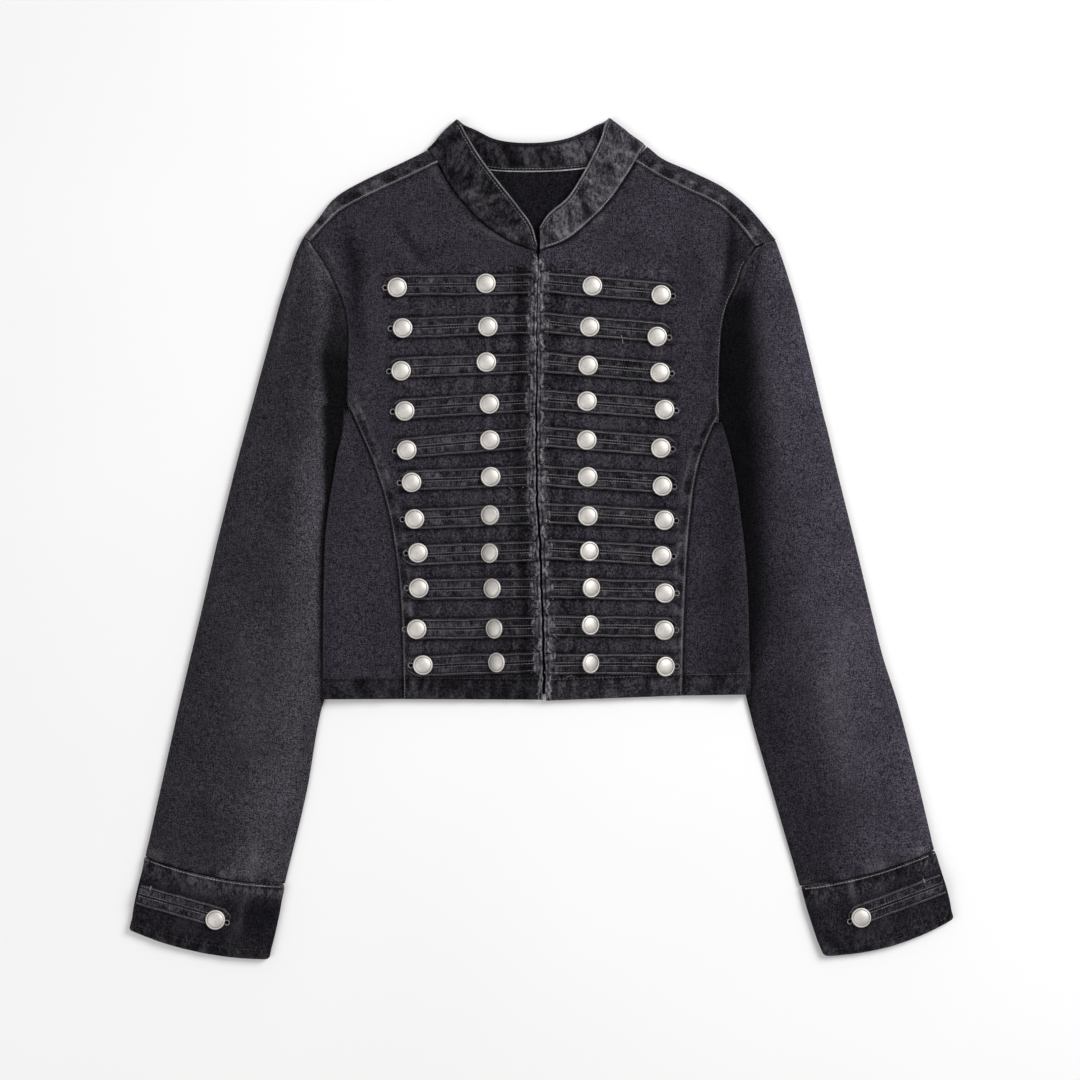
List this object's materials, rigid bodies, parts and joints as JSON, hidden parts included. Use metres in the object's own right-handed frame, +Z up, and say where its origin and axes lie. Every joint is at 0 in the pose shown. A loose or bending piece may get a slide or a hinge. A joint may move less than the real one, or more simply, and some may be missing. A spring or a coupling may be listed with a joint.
{
  "type": "denim jacket",
  "caption": "Cropped black denim jacket with a stand collar, rows of sewn strap tabs and domed metal buttons, laid flat with its front up.",
  "frame": {"origin": "under the middle of the jacket, on the surface that it lies on", "axes": "+X to the wearer's left, +Y from hem to collar, +Z up from the surface, out of the front"},
  "size_m": [0.7099, 0.7242, 0.0194],
  "materials": {
    "denim": "washed black denim, matt, fine twill with a pale heather fleck",
    "denim_washed": "the same denim worn paler in mottled patches along seams, straps, collar and cuffs",
    "thread": "pale grey topstitching thread, slightly frayed",
    "button_metal": "brushed silver-coloured metal, domed, with a rolled rim"
  },
  "bodies": {
    "root": {"back": "denim", "collar": "denim_washed", "front_right": "denim", "side_right": "denim", "sleeve_right": "denim", "cuff_right": "denim_washed", "cuff_tab_right": "denim_washed", "straps_right": "denim_washed", "button_right_outer_01": "button_metal", "button_right_outer_02": "button_metal", "button_right_outer_03": "button_metal", "button_right_outer_04": "button_metal", "button_right_outer_05": "button_metal", "button_right_outer_06": "button_metal", "button_right_outer_07": "button_metal", "button_right_outer_08": "button_metal", "button_right_outer_09": "button_metal", "button_right_outer_10": "button_metal", "button_right_outer_11": "button_metal", "button_right_inner_01": "button_metal", "button_right_inner_02": "button_metal", "button_right_inner_03": "button_metal", "button_right_inner_04": "button_metal", "button_right_inner_05": "button_metal", "button_right_inner_06": "button_metal", "button_right_inner_07": "button_metal", "button_right_inner_08": "button_metal", "button_right_inner_09": "button_metal", "button_right_inner_10": "button_metal", "button_right_inner_11": "button_metal", "button_right_cuff": "button_metal", "front_left": "denim", "side_left": "denim", "sleeve_left": "denim", "cuff_left": "denim_washed", "cuff_tab_left": "denim_washed", "straps_left": "denim_washed", "button_left_outer_01": "button_metal", "button_left_outer_02": "button_metal", "button_left_outer_03": "button_metal", "button_left_outer_04": "button_metal", "button_left_outer_05": "button_metal", "button_left_outer_06": "button_metal", "button_left_outer_07": "button_metal", "button_left_outer_08": "button_metal", "button_left_outer_09": "button_metal", "button_left_outer_10": "button_metal", "button_left_outer_11": "button_metal", "button_left_inner_01": "button_metal", "button_left_inner_02": "button_metal", "button_left_inner_03": "button_metal", "button_left_inner_04": "button_metal", "button_left_inner_05": "button_metal", "button_left_inner_06": "button_metal", "button_left_inner_07": "button_metal", "button_left_inner_08": "button_metal", "button_left_inner_09": "button_metal", "button_left_inner_10": "button_metal", "button_left_inner_11": "button_metal", "button_left_cuff": "button_metal"}
  },
  "joints": []
}
